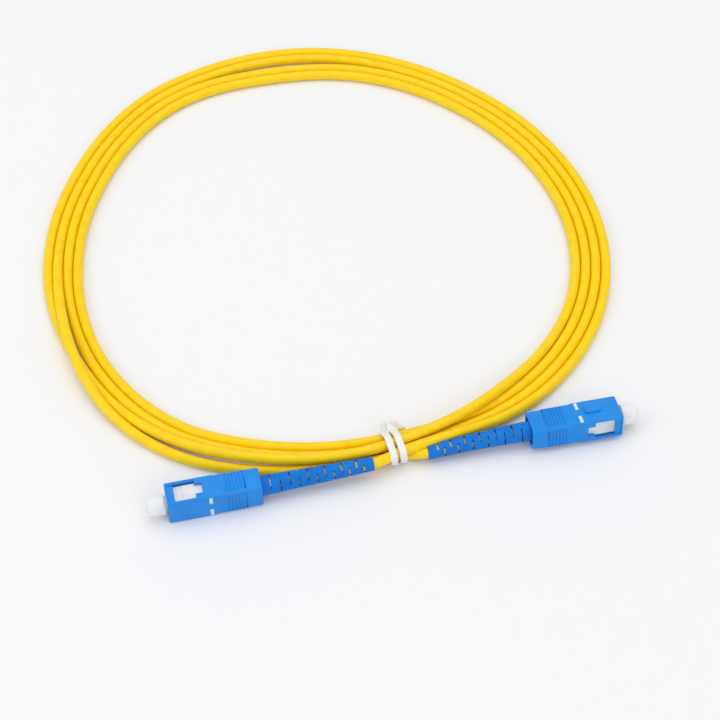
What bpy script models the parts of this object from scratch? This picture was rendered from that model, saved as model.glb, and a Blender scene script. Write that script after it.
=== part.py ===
"""Simplex fibre optic patch cord: two push-pull plugs on a jacketed cord, coiled and tied.

The cord lies on a table at z = 0 as a flat coil of four turns, held by a wire tie. A plug sits at
each end: a coupling housing slides on a plug frame, and a sprung ferrule floats inside the frame.
Each plug is built along its own axis, x = 0 at the front of its housing and x growing towards the
cord, and is then placed by its parent empty. Sizes are in millimetres, turned to metres by MM.
"""

import math

import bmesh
import bpy
from mathutils import Matrix, Vector

MM = 0.001

# The coupling housing: a nose with nearly sharp edges, and a grip of the same size, well chamfered
HOUSING_LENGTH = 25.8
HOUSING_WIDTH, HOUSING_HEIGHT = 9.0, 7.4
NOSE_END, GRIP_START = 12.8, 13.4
NOSE_CHAMFER, GRIP_CHAMFER, END_CHAMFER = 0.3, 0.6, 0.25
WALL, WINDOW_WALL = 0.7, 0.85
WINDOW_FRONT, WINDOW_STEP, WINDOW_REAR = 2.3, 8.0, 10.0
WINDOW_WIDE, WINDOW_NARROW = 5.6, 3.2
RAMP_FRONT, RAMP_WIDTH, RAMP_DEPTH = 0.5, 5.0, 0.35
KEY_FRONT, KEY_LENGTH, KEY_WIDTH, KEY_HEIGHT = 5.6, 4.4, 2.0, 0.9
REAR_HOLLOW_FRONT, REAR_HALF_WIDTH, REAR_HALF_HEIGHT, REAR_CORNER = 18.6, 3.7, 3.05, 1.0
GROOVES, GROOVE_START, GROOVE_PITCH = 6, 16.2, 0.95
GROOVE_WIDTH, GROOVE_DEPTH, GROOVE_MARGIN = 0.45, 0.25, 0.9

# The plug frame inside it, with a stepped notch for the adapter's latch under each window
FRAME_FRONT, FRAME_LENGTH = 0.6, 17.9
FRAME_GAP = 0.2
FRONT_BORE, SHOULDER_BORE, SPRING_BORE = 2.35, 1.6, 2.45
SHOULDER_FRONT, SHOULDER_REAR = 7.2, 8.0
NOTCH_FRONT, NOTCH_STEP, NOTCH_REAR, NOTCH_WIDTH = 2.3, 4.6, 7.7, 5.2
NOTCH_DEEP, NOTCH_SHALLOW = 1.7, 1.35

# The ferrule, its holder and the spring
FERRULE_RADIUS, FERRULE_FRONT, FERRULE_REAR = 1.2495, 0.3, 10.9
FLANGE_FRONT, FLANGE_REAR, HOLDER_REAR = 8.3, 9.9, 14.6
SPRING_TURNS, SPRING_RADIUS, SPRING_WIRE = 6, 2.0, 0.4
SPRING_FRONT, SPRING_REAR = 10.5, 16.1

# The rear body, the crimp and the boot
STOP_FRONT, COLLAR_FRONT, COLLAR_REAR, POST_REAR = 16.7, 18.8, 20.4, 27.0
SLEEVE_FRONT, SLEEVE_STEP, SLEEVE_REAR = 20.7, 27.4, 30.2
BOOT_FRONT, BOOT_TIP = 20.9, 56.0
BOOT_BASE_RADIUS, BOOT_TIP_RADIUS = 2.8, 1.98
SLOTS, SLOT_FIRST, SLOT_WIDTH, SLOT_BRIDGE = 12, 28.2, 0.45, 2.4
SLOT_PITCH_FIRST, SLOT_PITCH_LAST = 2.6, 1.9
JACKET_START = 27.5
CORD_DIAMETER = 3.0
FIBRE_DIAMETER = 0.9

# The dust cap
CAP_RADIUS, CAP_STEM_RADIUS, CAP_BORE = 2.9, 2.1, 1.4
CAP_TIP, CAP_SHOULDER, CAP_STEM_END = -5.6, -0.6, 4.6

# Where the plugs lie: the front of each housing, the heading from there to the cord, the height of
# the axis and the roll about it. The left plug lies flat on a window face. The right one leans on
# the far edge of a wide face, with its key on top, because the cord twists it.
LEFT_FRONT, LEFT_HEADING, LEFT_HEIGHT, LEFT_ROLL = (-43.65, -88.66), 12.6, 4.5, -90.0
RIGHT_FRONT, RIGHT_HEADING, RIGHT_HEIGHT, RIGHT_ROLL = (80.56, -59.83), 191.6, 4.42, 10.0

# The coil: the radius of its middle line every 30 degrees round its centre, from the +X side
COIL_CENTRE = (-1.415, 6.14)
COIL_RADII = (79.0, 77.2, 77.4, 80.2, 82.2, 80.4, 78.9, 80.6, 83.2, 77.4, 76.2, 79.5)
COIL_HALF_WIDTH, COIL_HEIGHT = 6.2, 3.1
TIE_ANGLE = 284.4
TIED_HALF_WIDTH, TIED_HEIGHT = 4.8, 5.8
TIED_FLAT, TIED_REACH = 12.0, 32.0
TIED_LIFT, LIFT_FLAT, LIFT_REACH = 1.25, 4.0, 22.0
CROSSING_ANGLE, CROSSING_HEIGHT, CROSSING_REACH = 206.0, 5.6, 26.0
TIE_WIDTH, TIE_THICKNESS, TIE_GAP = 1.6, 0.8, 0.4
TIE_SPREAD = 1.45

# The bare stretch of cord between each boot and the coil: (x, y, z) past the boot's tip
LEFT_LEAD = ((14.04, -75.58, 4.8), (15.74, -74.43, 5.0))
RIGHT_LEAD = ((23.44, -71.58, 4.25), (22.04, -71.68, 4.05))
LEAD_GROOVE = 0.35

GAP = 0.3
ROUND = 20


def clear_scene():
    for thing in list(bpy.data.objects):
        bpy.data.objects.remove(thing, do_unlink=True)


def new_collection(name):
    collection = bpy.data.collections.new(name)
    bpy.context.scene.collection.children.link(collection)
    return collection


def material(name, colour, roughness, metallic=0.0, alpha=1.0):
    made = bpy.data.materials.new(name)
    made.use_nodes = True
    shader = made.node_tree.nodes["Principled BSDF"]
    shader.inputs["Base Color"].default_value = (*colour, 1.0)
    shader.inputs["Roughness"].default_value = roughness
    shader.inputs["Metallic"].default_value = metallic
    shader.inputs["Alpha"].default_value = alpha
    return made


def place(thing, collection, parent=None, finish=None):
    """Link an object, give it its parent and its material, and return it."""
    collection.objects.link(thing)
    thing.parent = parent
    if finish is not None:
        thing.data.materials.append(finish)
    return thing


def cut_piece(thing, parent=None):
    """Put a cutter among the cutters, where it stays out of the render."""
    place(thing, cutters, parent)
    thing.hide_render = True
    thing.display_type = "WIRE"
    return thing


def box_mesh(name, boxes):
    """Boxes given by their low and high corners, in mm, as one mesh."""
    shape = bmesh.new()
    for low, high in boxes:
        size = [(h - l) * MM for l, h in zip(low, high)]
        middle = [(h + l) / 2 * MM for l, h in zip(low, high)]
        where = Matrix.Translation(middle) @ Matrix.Diagonal((*size, 1.0))
        bmesh.ops.create_cube(shape, size=1.0, matrix=where)
    mesh = bpy.data.meshes.new(name)
    shape.to_mesh(mesh)
    shape.free()
    return mesh


def boolean(thing, cutter, operation="DIFFERENCE"):
    step = thing.modifiers.new(operation.lower() + "_" + cutter.name, "BOOLEAN")
    step.operation = operation
    step.object = cutter


def combine_boxes(thing, label, boxes, axis, operation="DIFFERENCE"):
    """Cut boxes given on the plug's axis out of a piece, or join them to it."""
    name = f"{thing.name}_{label}"
    cutter = cut_piece(bpy.data.objects.new(name, box_mesh(name, boxes)), axis)
    boolean(thing, cutter, operation)


def bevel(thing, width):
    step = thing.modifiers.new("rounded_edges", "BEVEL")
    step.width = width * MM
    step.segments = 2
    step.limit_method = "ANGLE"
    step.angle_limit = math.radians(50)


def turned(name, profile, steps=ROUND):
    """A solid turned about the plug's x axis, from a profile of (x, radius) along its outer side
    from front to rear. A profile that ends off the axis is closed into a ring."""
    mesh = bpy.data.meshes.new(name)
    points = [(radius * MM, 0.0, along * MM) for along, radius in reversed(profile)]
    links = [(i, i + 1) for i in range(len(points) - 1)]
    if profile[0][1] > 0:
        links.append((len(points) - 1, 0))
    mesh.from_pydata(points, links, [])
    thing = bpy.data.objects.new(name, mesh)
    thing.rotation_euler = (0.0, math.radians(90), 0.0)
    screw = thing.modifiers.new("turned", "SCREW")
    screw.axis = "Z"
    screw.steps = steps
    screw.render_steps = steps
    screw.use_merge_vertices = True
    screw.merge_threshold = 0.00001
    screw.use_smooth_shade = True
    return thing


def tube(name, points, radius, resolution=2):
    """A round tube along points in mm, with closed ends."""
    curve = bpy.data.curves.new(name, "CURVE")
    curve.dimensions = "3D"
    curve.bevel_depth = radius * MM
    curve.bevel_resolution = resolution
    curve.use_fill_caps = True
    spline = curve.splines.new("POLY")
    spline.points.add(len(points) - 1)
    for point, where in zip(spline.points, points):
        point.co = (*[c * MM for c in where], 1.0)
    return bpy.data.objects.new(name, curve)


def smooth_line(points, spacing):
    """Points about one spacing apart on a smooth curve through the given points."""
    line = []
    ends = [2 * points[0] - points[1], *points, 2 * points[-1] - points[-2]]
    for a, b, c, d in zip(ends, ends[1:], ends[2:], ends[3:]):
        count = max(1, round((c - b).length / spacing))
        for i in range(count):
            t = i / count
            bend = (2 * a - 5 * b + 4 * c - d) * t * t + (3 * b - a - 3 * c + d) * t**3
            line.append(b + 0.5 * ((c - a) * t + bend))
    return [*line, points[-1]]


# The plugs

def plug_place(end):
    """The front, heading, height and roll of one plug."""
    if end == "left":
        return LEFT_FRONT, LEFT_HEADING, LEFT_HEIGHT, LEFT_ROLL
    return RIGHT_FRONT, RIGHT_HEADING, RIGHT_HEIGHT, RIGHT_ROLL


def plug_axis(end):
    """An empty at the front of a plug's housing, its x axis pointing to the cord."""
    front, heading, height, roll = plug_place(end)
    spin = Matrix.Rotation(math.radians(heading), 4, "Z") @ Matrix.Rotation(math.radians(roll), 4, "X")
    empty = bpy.data.objects.new(end + "_plug_axis", None)
    empty.matrix_world = Matrix.Translation(Vector((*front, height)) * MM) @ spin
    parts.objects.link(empty)
    return empty


def chamfered_ring(along, half_width, half_height, chamfer):
    """The eight corners of a chamfered oblong section across the plug's axis."""
    quarter = [(half_width, half_height - chamfer), (half_width - chamfer, half_height)]
    half = quarter + [(-y, z) for y, z in reversed(quarter)]
    outline = half + [(-y, -z) for y, z in half]
    return [Vector((along, y, z)) for y, z in outline]


def housing_outside(name):
    half_width, half_height = HOUSING_WIDTH / 2, HOUSING_HEIGHT / 2
    rings = []
    for along, chamfer, inset in (
        (0.0, NOSE_CHAMFER, END_CHAMFER),
        (END_CHAMFER, NOSE_CHAMFER, 0.0),
        (NOSE_END, NOSE_CHAMFER, 0.0),
        (GRIP_START, GRIP_CHAMFER, 0.0),
        (HOUSING_LENGTH - END_CHAMFER, GRIP_CHAMFER, 0.0),
        (HOUSING_LENGTH, GRIP_CHAMFER, END_CHAMFER),
    ):
        rings.append(chamfered_ring(along, half_width - inset, half_height - inset, chamfer))
    return loft(name, rings, False, smooth=False)


def housing(end, axis, finish):
    """The coupling housing: a box tube with a key, two T-shaped windows and a grooved grip."""
    thing = place(housing_outside(end + "_housing"), parts, axis, finish)
    half_width, half_height = HOUSING_WIDTH / 2 - WINDOW_WALL, HOUSING_HEIGHT / 2 - WALL
    key_half = KEY_WIDTH / 2
    key_root = half_height + 0.2
    key_top = HOUSING_HEIGHT / 2 + KEY_HEIGHT
    combine_boxes(thing, "key", [
        ((KEY_FRONT, -key_half, key_root), (KEY_FRONT + KEY_LENGTH, key_half, key_top)),
    ], axis, "UNION")
    combine_boxes(thing, "hollow", [
        ((-1, -half_width, -half_height), (REAR_HOLLOW_FRONT + 0.5, half_width, half_height)),
    ], axis)
    # Behind the plug frame the hollow has chamfered corners, and room for the round collar
    rear_rings = [
        chamfered_ring(along, REAR_HALF_WIDTH, REAR_HALF_HEIGHT, REAR_CORNER)
        for along in (REAR_HOLLOW_FRONT, HOUSING_LENGTH + 1)
    ]
    boolean(thing, cut_piece(loft(end + "_housing_rear", rear_rings, False, smooth=False), axis))
    reach = HOUSING_WIDTH
    combine_boxes(thing, "window", [
        ((WINDOW_FRONT, -reach, -WINDOW_WIDE / 2), (WINDOW_STEP, reach, WINDOW_WIDE / 2)),
    ], axis)
    combine_boxes(thing, "window_tail", [
        ((WINDOW_STEP - 1, -reach, -WINDOW_NARROW / 2), (WINDOW_REAR, reach, WINDOW_NARROW / 2)),
    ], axis)
    # A shallow pocket ahead of each window leads the adapter's latch in
    pockets = []
    for side in (-1, 1):
        y = sorted((side * (HOUSING_WIDTH / 2 - RAMP_DEPTH), side * reach))
        low, high = (RAMP_FRONT, y[0], -RAMP_WIDTH / 2), (WINDOW_FRONT + 1, y[1], RAMP_WIDTH / 2)
        pockets.append((low, high))
    combine_boxes(thing, "latch_pockets", pockets, axis)
    grooves = []
    for i in range(GROOVES):
        front = GROOVE_START + i * GROOVE_PITCH
        back = front + GROOVE_WIDTH
        for side in (-1, 1):
            y = sorted((side * (HOUSING_WIDTH / 2 - GROOVE_DEPTH), side * reach))
            z = sorted((side * (HOUSING_HEIGHT / 2 - GROOVE_DEPTH), side * reach))
            window_face = HOUSING_HEIGHT / 2 - GROOVE_MARGIN
            wide_face = HOUSING_WIDTH / 2 - GROOVE_MARGIN
            grooves.append(((front, y[0], -window_face), (back, y[1], window_face)))
            grooves.append(((front, -wide_face, z[0]), (back, wide_face, z[1])))
    combine_boxes(thing, "grooves", grooves, axis)
    return thing


def plug_frame(end, axis, finish):
    """The plug frame: a square tube with a stepped latch notch under each window and stepped bores."""
    name = end + "_plug_frame"
    half_width = HOUSING_WIDTH / 2 - WINDOW_WALL - FRAME_GAP
    half_height = HOUSING_HEIGHT / 2 - WALL - FRAME_GAP
    rear = FRAME_FRONT + FRAME_LENGTH
    body = box_mesh(name, [((FRAME_FRONT, -half_width, -half_height), (rear, half_width, half_height))])
    thing = place(bpy.data.objects.new(name, body), parts, axis, finish)
    bevel(thing, 0.4)
    reach, notch_half = HOUSING_WIDTH, NOTCH_WIDTH / 2
    for label, back, depth in (
        ("long_notches", NOTCH_REAR, NOTCH_SHALLOW),
        ("deep_notches", NOTCH_STEP, NOTCH_DEEP),
    ):
        notches = []
        for side in (-1, 1):
            y = sorted((side * (HOUSING_WIDTH / 2 - depth), side * reach))
            notches.append(((NOTCH_FRONT, y[0], -notch_half), (back, y[1], notch_half)))
        combine_boxes(thing, label, notches, axis)
    bore = turned(name + "_bore", [
        (FRAME_FRONT - 1, 0),
        (FRAME_FRONT - 1, FRONT_BORE),
        (SHOULDER_FRONT, FRONT_BORE),
        (SHOULDER_FRONT, SHOULDER_BORE),
        (SHOULDER_REAR, SHOULDER_BORE),
        (SHOULDER_REAR, SPRING_BORE),
        (rear + 1, SPRING_BORE),
        (rear + 1, 0),
    ])
    boolean(thing, cut_piece(bore, axis))
    return thing


def ferrule(end, axis, finish):
    chamfer = 0.35
    return place(turned(end + "_ferrule", [
        (FERRULE_FRONT, 0),
        (FERRULE_FRONT, FERRULE_RADIUS - chamfer),
        (FERRULE_FRONT + chamfer, FERRULE_RADIUS),
        (FERRULE_REAR, FERRULE_RADIUS),
        (FERRULE_REAR, 0),
    ]), parts, axis, finish)


def ferrule_holder(end, axis, finish):
    """The metal holder pressed on the ferrule: a flange that seats in the frame, then a stem."""
    seat, stem, passage = 1.45, 1.55, 0.95
    return place(turned(end + "_ferrule_holder", [
        (FLANGE_FRONT, seat),
        (FLANGE_FRONT, 1.95),
        (FLANGE_FRONT + 0.3, 2.2),
        (FLANGE_REAR, 2.2),
        (FLANGE_REAR, stem + 0.15),
        (HOLDER_REAR, stem),
        (HOLDER_REAR, passage),
        (FERRULE_REAR + GAP, passage),
        (FERRULE_REAR + GAP, seat),
    ]), parts, axis, finish)


def inner_tube(end, axis, finish):
    return place(turned(end + "_inner_tube", [
        (12.6, 0.6),
        (12.6, 0.8),
        (24.0, 0.8),
        (24.0, 0.6),
    ], 16), parts, axis, finish)


def spring(end, axis, finish):
    per_turn = 10
    count = SPRING_TURNS * per_turn
    points = []
    for i in range(count + 1):
        turn = math.tau * i / per_turn
        along = SPRING_FRONT + (SPRING_REAR - SPRING_FRONT) * i / count
        points.append((along, SPRING_RADIUS * math.cos(turn), SPRING_RADIUS * math.sin(turn)))
    return place(tube(end + "_spring", points, SPRING_WIRE / 2, 1), parts, axis, finish)


def stop_ring(end, axis, finish):
    """The metal rear body: a nose snapped into the frame, a collar, and the crimp post."""
    passage, nose, collar, post = 0.95, 2.2, 2.7, 1.55
    return place(turned(end + "_stop_ring", [
        (STOP_FRONT, passage),
        (STOP_FRONT, nose - 0.2),
        (STOP_FRONT + 0.2, nose),
        (COLLAR_FRONT, nose),
        (COLLAR_FRONT, collar),
        (COLLAR_REAR, collar),
        (COLLAR_REAR, post),
        (POST_REAR, post),
        (POST_REAR, passage),
    ]), parts, axis, finish)


def aramid_yarn(end, axis, finish):
    return place(turned(end + "_aramid_yarn", [
        (SLEEVE_FRONT + 0.1, 1.68),
        (SLEEVE_FRONT + 0.1, 1.93),
        (SLEEVE_STEP - 0.2, 1.93),
        (SLEEVE_STEP - 0.2, 1.68),
    ]), parts, axis, finish)


def crimp_sleeve(end, axis, finish):
    inner, jacket_bore, outer, neck = 2.05, 1.66, 2.3, 1.95
    return place(turned(end + "_crimp_sleeve", [
        (SLEEVE_FRONT, inner),
        (SLEEVE_FRONT, outer),
        (SLEEVE_STEP - 0.3, outer),
        (SLEEVE_STEP + 0.2, neck),
        (SLEEVE_REAR, neck),
        (SLEEVE_REAR, jacket_bore),
        (SLEEVE_STEP + 0.2, jacket_bore),
        (SLEEVE_STEP - 0.1, inner),
    ]), parts, axis, finish)


def slot_places():
    """Where the boot's slots are cut, closer together towards its tip."""
    at = SLOT_FIRST
    places = []
    for i in range(SLOTS):
        places.append(at)
        share = i / (SLOTS - 2)
        at += SLOT_PITCH_FIRST + (SLOT_PITCH_LAST - SLOT_PITCH_FIRST) * share
    return places


def boot(end, axis, finish):
    name = end + "_boot"
    base_bore, cord_bore, bore_step = 2.45, 1.68, 30.6
    thing = place(turned(name, [
        (BOOT_FRONT, base_bore),
        (BOOT_FRONT, BOOT_BASE_RADIUS),
        (HOUSING_LENGTH + 1, BOOT_BASE_RADIUS),
        (BOOT_TIP - 0.4, BOOT_TIP_RADIUS),
        (BOOT_TIP, BOOT_TIP_RADIUS - 0.2),
        (BOOT_TIP, cord_bore),
        (bore_step + 0.7, cord_bore),
        (bore_step, base_bore),
    ], 16), parts, axis, finish)
    reach, bridge = 4.0, SLOT_BRIDGE / 2
    for kind, turn in ((0, 90), (1, 0)):
        boxes = []
        for front in slot_places()[kind::2]:
            boxes.append(((front, -reach, bridge), (front + SLOT_WIDTH, reach, reach)))
            boxes.append(((front, -reach, -reach), (front + SLOT_WIDTH, reach, -bridge)))
        label = f"{name}_slots_{kind}"
        cutter = cut_piece(bpy.data.objects.new(label, box_mesh(label, boxes)), axis)
        cutter.rotation_euler = (math.radians(turn), 0.0, 0.0)
        boolean(thing, cutter)
    return thing


def buffered_fibre(end, axis, finish):
    points = [(along, 0.0, 0.0) for along in (12.2, 17.0, 22.0, POST_REAR + 0.2)]
    return place(tube(end + "_buffered_fibre", points, FIBRE_DIAMETER / 2, 2), parts, axis, finish)


def dust_cap(end, axis, finish):
    """A closed cylinder with a rounded tip, and a stem that pushes on the ferrule."""
    rounding = 1.1
    corner = []
    for i in range(4):
        turn = math.radians(30 * i)
        along = CAP_TIP + rounding * (1 - math.sin(turn))
        corner.append((along, CAP_RADIUS - rounding * (1 - math.cos(turn))))
    corner.reverse()
    return place(turned(end + "_dust_cap", [
        (CAP_TIP, 0),
        *corner,
        (CAP_SHOULDER, CAP_RADIUS),
        (CAP_SHOULDER, CAP_STEM_RADIUS),
        (CAP_STEM_END, CAP_STEM_RADIUS),
        (CAP_STEM_END, CAP_BORE),
        (FERRULE_FRONT - 1.2, CAP_BORE),
        (FERRULE_FRONT - 1.2, 0),
    ]), parts, axis, finish)


# The coil, the leads and the tie

def coil_radius(angle):
    """The radius of the coil's middle line at an angle in degrees, on a smooth closed curve."""
    place_on = (angle % 360) / 30
    i = int(place_on)
    t = place_on - i
    a, b, c, d = (COIL_RADII[(i + k - 1) % 12] for k in range(4))
    bend = (2 * a - 5 * b + 4 * c - d) * t * t + (3 * b - a - 3 * c + d) * t**3
    return b + 0.5 * ((c - a) * t + bend)


def bump(angle, middle, flat, reach):
    """1 within the flat stretch about the middle angle, falling smoothly to 0 at the reach."""
    away = abs((angle - middle + 180) % 360 - 180)
    share = min(1.0, max(0.0, (away - flat) / (reach - flat)))
    return 0.5 + 0.5 * math.cos(math.pi * share)


def coil_section(angle):
    """The coil's middle radius, half width, underside and top at an angle."""
    tied = bump(angle, TIE_ANGLE, TIED_FLAT, TIED_REACH)
    crossed = bump(angle, CROSSING_ANGLE, 0.0, CROSSING_REACH)
    half = COIL_HALF_WIDTH + (TIED_HALF_WIDTH - COIL_HALF_WIDTH) * tied
    low = TIED_LIFT * bump(angle, TIE_ANGLE, LIFT_FLAT, LIFT_REACH)
    height = COIL_HEIGHT + (TIED_HEIGHT - COIL_HEIGHT) * tied
    height += (CROSSING_HEIGHT - COIL_HEIGHT) * crossed
    return coil_radius(angle), half, low, low + height


def on_oblong(turn, half, low, high, flatness):
    """A point of a rounded oblong, as (sideways, up), sideways measured outwards."""
    c, s = math.cos(turn), math.sin(turn)
    side = half * math.copysign(abs(c) ** flatness, c)
    up = (high + low) / 2 + (high - low) / 2 * math.copysign(abs(s) ** flatness, s)
    return side, up


def on_coil(angle, radius, height):
    turn = math.radians(angle)
    x = COIL_CENTRE[0] + radius * math.cos(turn)
    y = COIL_CENTRE[1] + radius * math.sin(turn)
    return Vector((x, y, height))


def loft(name, rings, closed, smooth=True):
    """A solid through rings of points in mm, joined end to end or capped."""
    shape = bmesh.new()
    made = [[shape.verts.new(p * MM) for p in ring] for ring in rings]
    pairs = list(zip(made, made[1:]))
    if closed:
        pairs.append((made[-1], made[0]))
    else:
        shape.faces.new(made[0])
        shape.faces.new(list(reversed(made[-1])))
    for first, second in pairs:
        for i in range(len(first)):
            j = (i + 1) % len(first)
            shape.faces.new((first[i], first[j], second[j], second[i]))
    bmesh.ops.recalc_face_normals(shape, faces=shape.faces)
    mesh = bpy.data.meshes.new(name)
    shape.to_mesh(mesh)
    shape.free()
    if smooth:
        mesh.shade_smooth()
    return bpy.data.objects.new(name, mesh)


def coil(axes, finish):
    """The outer shape of the four turns, higher where they are tied or cross over."""
    rings = []
    for angle in range(0, 360, 6):
        radius, half, low, high = coil_section(angle)
        ring = []
        for i in range(12):
            side, up = on_oblong(math.tau * (i + 0.5) / 12, half, low, high, 0.5)
            ring.append(on_coil(angle, radius + side, up))
        rings.append(ring)
    thing = place(loft("cord_coil", rings, True), parts, None, finish)
    for end, axis in axes.items():
        # The turns keep clear of the boot's tip, and a groove takes the lead that joins them
        room = turned(end + "_boot_room", [
            (HOUSING_LENGTH, 0),
            (HOUSING_LENGTH, BOOT_BASE_RADIUS + GAP),
            (BOOT_TIP, BOOT_TIP_RADIUS + GAP),
            (BOOT_TIP + GAP, BOOT_TIP_RADIUS),
            (BOOT_TIP + GAP, 0),
        ], 24)
        boolean(thing, cut_piece(room, axis))
        line = lead_line(end)
        past_tip = line[-1] + (line[-1] - line[-2]).normalized() * GAP
        route = [*line[-8:-1], past_tip]
        groove = tube(end + "_lead_groove", route, CORD_DIAMETER / 2 + LEAD_GROOVE)
        boolean(thing, cut_piece(solid_from_curve(groove)))
    return thing


def solid_from_curve(curve_object):
    """The curve's tube as a closed mesh, so that it can cut."""
    cutters.objects.link(curve_object)
    bpy.context.view_layer.update()
    evaluated = curve_object.evaluated_get(bpy.context.evaluated_depsgraph_get())
    mesh = bpy.data.meshes.new_from_object(evaluated)
    shape = bmesh.new()
    shape.from_mesh(mesh)
    bmesh.ops.remove_doubles(shape, verts=shape.verts, dist=0.000001)
    bmesh.ops.recalc_face_normals(shape, faces=shape.faces)
    shape.to_mesh(mesh)
    shape.free()
    name = curve_object.name
    bpy.data.objects.remove(curve_object)
    return bpy.data.objects.new(name, mesh)


def lead_line(end):
    """The jacketed cord from the crimp, through the boot and on to the coil."""
    front, heading, height, _ = plug_place(end)
    past = LEFT_LEAD if end == "left" else RIGHT_LEAD
    turn = math.radians(heading)
    along = Vector((math.cos(turn), math.sin(turn), 0.0))
    start = Vector((*front, height))
    inside = [start + along * x for x in (JACKET_START, 37.0, 46.5, BOOT_TIP + 1.0)]
    return smooth_line(inside + [Vector(p) for p in past], 2.4)


def lead(end, finish):
    return place(tube(end + "_lead", lead_line(end), CORD_DIAMETER / 2, 2), parts, None, finish)


def twist_tie(finish):
    """A flat coated wire, two turns round the bundle, both ends left as short tails."""
    turns, per_turn = 2, 18
    half_width, half_thick = TIE_WIDTH / 2, TIE_THICKNESS / 2
    start = math.radians(125)
    rings = []
    for i in range(turns * per_turn + 1):
        share = i / (turns * per_turn)
        turn = start - math.tau * turns * share
        angle = TIE_ANGLE + TIE_SPREAD * (2 * share - 1)
        radius, half, low, high = coil_section(angle)
        off = TIE_GAP + half_thick
        side, up = on_oblong(turn, half + off, low - off, high + off, 0.62)
        centre = on_coil(angle, radius + side, max(up, half_thick + 0.06))
        rings.append(band_ring(centre, turn, angle, half_width, half_thick))
    for at_start in (True, False):
        base = rings[0] if at_start else rings[-1]
        angle = TIE_ANGLE + TIE_SPREAD * (-1 if at_start else 1)
        outwards = Vector((math.cos(math.radians(angle)), math.sin(math.radians(angle)), 0.0))
        middle = sum(base, Vector()) / len(base)
        tail = []
        for inwards, up, tilt in ((1.6, 0.75, 110), (3.2, 0.75, 95), (4.8, 0.1, 70)):
            centre = middle - outwards * inwards + Vector((0.0, 0.0, up))
            tail.append(band_ring(centre, math.radians(tilt), angle, half_width, half_thick))
        rings = tail[::-1] + rings if at_start else rings + tail
    return place(loft("twist_tie", rings, False), parts, None, finish)


def band_ring(centre, tilt, angle, half_width, half_thick):
    """One cross-section of the tie: a flat oval, wide along the bundle, its face turned by tilt."""
    turn = math.radians(angle)
    along = Vector((-math.sin(turn), math.cos(turn), 0.0)) * half_width
    across = Vector((math.cos(turn) * math.cos(tilt), math.sin(turn) * math.cos(tilt), math.sin(tilt)))
    across *= half_thick
    steps = [math.tau * i / 6 for i in range(6)]
    return [centre + along * math.cos(step) + across * math.sin(step) for step in steps]


clear_scene()
parts = new_collection("fibre_optic_patch_cord")
cutters = new_collection("cutters")

blue_plastic = ("blue_plastic", (0.03, 0.24, 0.72), 0.4)
white_plastic = ("white_plastic", (0.85, 0.86, 0.86), 0.4)
blue_rubber = ("blue_rubber", (0.01, 0.19, 0.63), 0.55)
pale_cap = ("pale_cap", (0.9, 0.92, 0.92), 0.3, 0.0, 0.6)
yellow_jacket = ("yellow_jacket", (0.95, 0.6, 0.01), 0.45)
plated_metal = ("plated_metal", (0.7, 0.7, 0.68), 0.3, 1.0)
spring_steel = ("spring_steel", (0.55, 0.56, 0.58), 0.35, 1.0)
zirconia = ("zirconia", (0.88, 0.88, 0.85), 0.2)
clear_tube = ("clear_tube", (0.9, 0.9, 0.9), 0.35)
yarn_yellow = ("yarn_yellow", (0.85, 0.7, 0.2), 0.8)
buffer_yellow = ("buffer_yellow", (0.9, 0.78, 0.3), 0.5)
tie_white = ("tie_white", (0.9, 0.9, 0.9), 0.5)

PLUG_PIECES = (
    (housing, blue_plastic),
    (plug_frame, white_plastic),
    (ferrule, zirconia),
    (ferrule_holder, plated_metal),
    (inner_tube, clear_tube),
    (spring, spring_steel),
    (stop_ring, plated_metal),
    (aramid_yarn, yarn_yellow),
    (crimp_sleeve, plated_metal),
    (boot, blue_rubber),
    (buffered_fibre, buffer_yellow),
    (dust_cap, pale_cap),
)

plug_axes = {end: plug_axis(end) for end in ("left", "right")}
for end, axis in plug_axes.items():
    for build_piece, (label, *look) in PLUG_PIECES:
        build_piece(end, axis, material(f"{end}_{build_piece.__name__}_{label}", *look))
    lead(end, material(end + "_lead_jacket", *yellow_jacket[1:]))

coil(plug_axes, material("coil_jacket", *yellow_jacket[1:]))
twist_tie(material(*tie_white))
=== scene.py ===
import math

import bmesh
import bpy
import numpy as np
from mathutils import Matrix, Vector


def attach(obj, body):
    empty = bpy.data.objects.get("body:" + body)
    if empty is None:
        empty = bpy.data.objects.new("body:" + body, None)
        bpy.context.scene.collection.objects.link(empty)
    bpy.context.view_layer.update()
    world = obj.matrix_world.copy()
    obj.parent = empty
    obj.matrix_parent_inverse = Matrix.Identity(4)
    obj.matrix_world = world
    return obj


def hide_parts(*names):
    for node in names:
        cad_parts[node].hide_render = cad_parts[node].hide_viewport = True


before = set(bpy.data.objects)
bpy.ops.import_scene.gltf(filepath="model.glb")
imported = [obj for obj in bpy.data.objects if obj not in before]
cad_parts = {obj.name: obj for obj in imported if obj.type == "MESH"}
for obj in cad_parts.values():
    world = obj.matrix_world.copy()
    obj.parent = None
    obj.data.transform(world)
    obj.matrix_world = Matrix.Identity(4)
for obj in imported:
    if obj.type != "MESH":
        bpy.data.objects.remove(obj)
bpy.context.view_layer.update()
MM = 0.001


# The table and the light.
# A white matt sheet that fades into a pale backdrop, a very large soft light overhead, a weaker one
# from the left, and a small one that gives the mouldings their highlights.
LOOK_AT = Vector((8.59, -36.26, 0.0)) * MM
EYE = LOOK_AT + Vector((0.0, -334.6, 425.1)) * MM
EYE_ROLL = -0.26
FOCAL = 93.8


def placed(name, data):
    thing = bpy.data.objects.new(name, data)
    bpy.context.collection.objects.link(thing)
    return thing


def aimed(name, data, place, target):
    thing = placed(name, data)
    thing.location = place
    thing.rotation_euler = (Vector(target) - Vector(place)).to_track_quat("-Z", "Y").to_euler()
    return thing


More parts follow.
